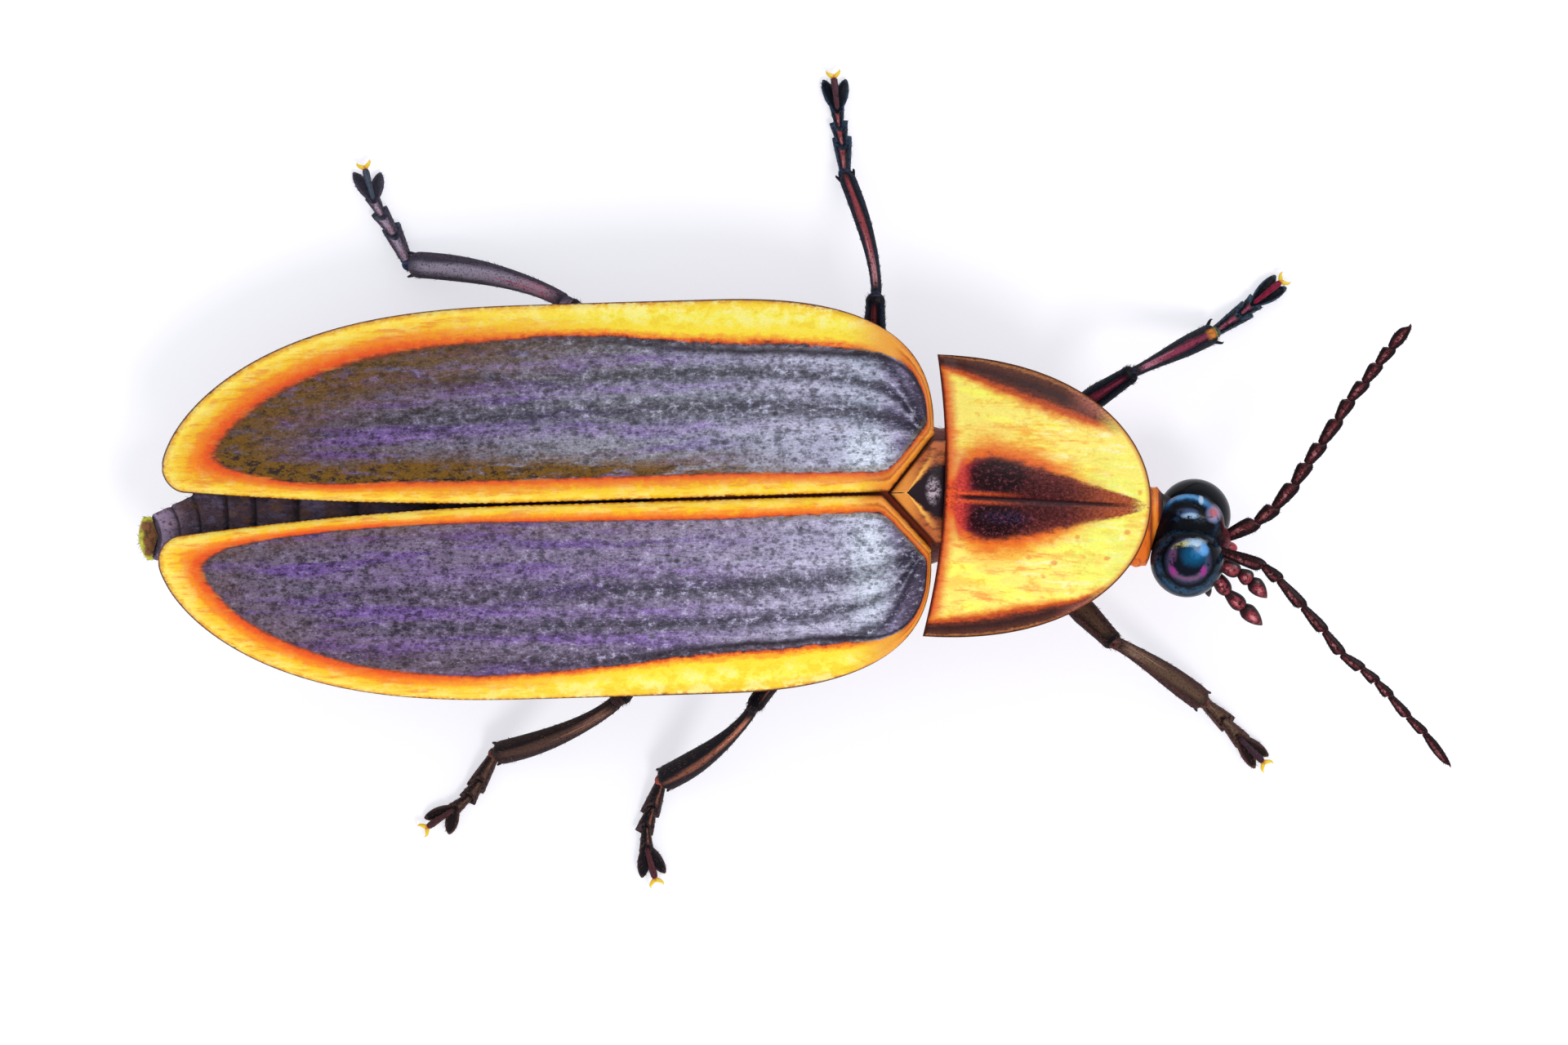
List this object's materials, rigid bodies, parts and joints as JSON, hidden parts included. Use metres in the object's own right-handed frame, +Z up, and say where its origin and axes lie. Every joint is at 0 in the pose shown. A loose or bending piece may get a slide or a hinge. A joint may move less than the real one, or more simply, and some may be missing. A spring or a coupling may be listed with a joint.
{
  "type": "firefly",
  "caption": "Still life-size firefly beetle with dark yellow-edged wing cases, a yellow shield, beaded antennae and a standing pose.",
  "frame": {"origin": "on the floor under the middle of the whole insect, feet and antennae included", "axes": "+X to the head, +Y to the beetle's left, +Z up"},
  "size_m": [0.02, 0.0126, 0.0039],
  "materials": {
    "wing_case": "charcoal with violet tones, punctured, yellow margins, satin",
    "pronotum": "yellow and orange with a dark middle spot, satin",
    "scutellum": "orange with a dark centre, satin",
    "thorax": "brown, finely haired, satin",
    "neck": "orange skin, satin",
    "abdomen": "dark purple-brown plates, satin",
    "lantern": "pale greenish cream, waxy",
    "pygidium": "olive yellow, satin",
    "head": "blue-black, glossy",
    "eye": "blue-black, faceted, glossy",
    "mouthparts": "red-brown, satin",
    "antenna": "dark red-brown, finely haired",
    "leg": "blackish brown with reddish edges, finely haired, satin"
  },
  "bodies": {
    "root": {"elytron_left": "wing_case", "elytron_right": "wing_case", "pronotum": "pronotum", "scutellum": "scutellum", "prothorax": "thorax", "mesothorax": "thorax", "metathorax": "thorax", "neck": "neck", "abdomen": "abdomen", "lantern_front": "lantern", "lantern_rear": "lantern", "pygidium": "pygidium", "head": "head", "eye_left": "eye", "eye_right": "eye", "labrum": "mouthparts", "maxillary_palp_left": "mouthparts", "maxillary_palp_right": "mouthparts", "labial_palp_left": "mouthparts", "labial_palp_right": "mouthparts", "mandible_left": "mouthparts", "mandible_right": "mouthparts", "antenna_left": "antenna", "antenna_right": "antenna", "coxa_front_left": "leg", "femur_front_left": "leg", "tibia_front_left": "leg", "tarsus_front_left": "leg", "coxa_front_right": "leg", "femur_front_right": "leg", "tibia_front_right": "leg", "tarsus_front_right": "leg", "coxa_mid_left": "leg", "femur_mid_left": "leg", "tibia_mid_left": "leg", "tarsus_mid_left": "leg", "coxa_mid_right": "leg", "femur_mid_right": "leg", "tibia_mid_right": "leg", "tarsus_mid_right": "leg", "coxa_hind_left": "leg", "femur_hind_left": "leg", "tibia_hind_left": "leg", "tarsus_hind_left": "leg", "coxa_hind_right": "leg", "femur_hind_right": "leg", "tibia_hind_right": "leg", "tarsus_hind_right": "leg"}
  },
  "joints": []
}
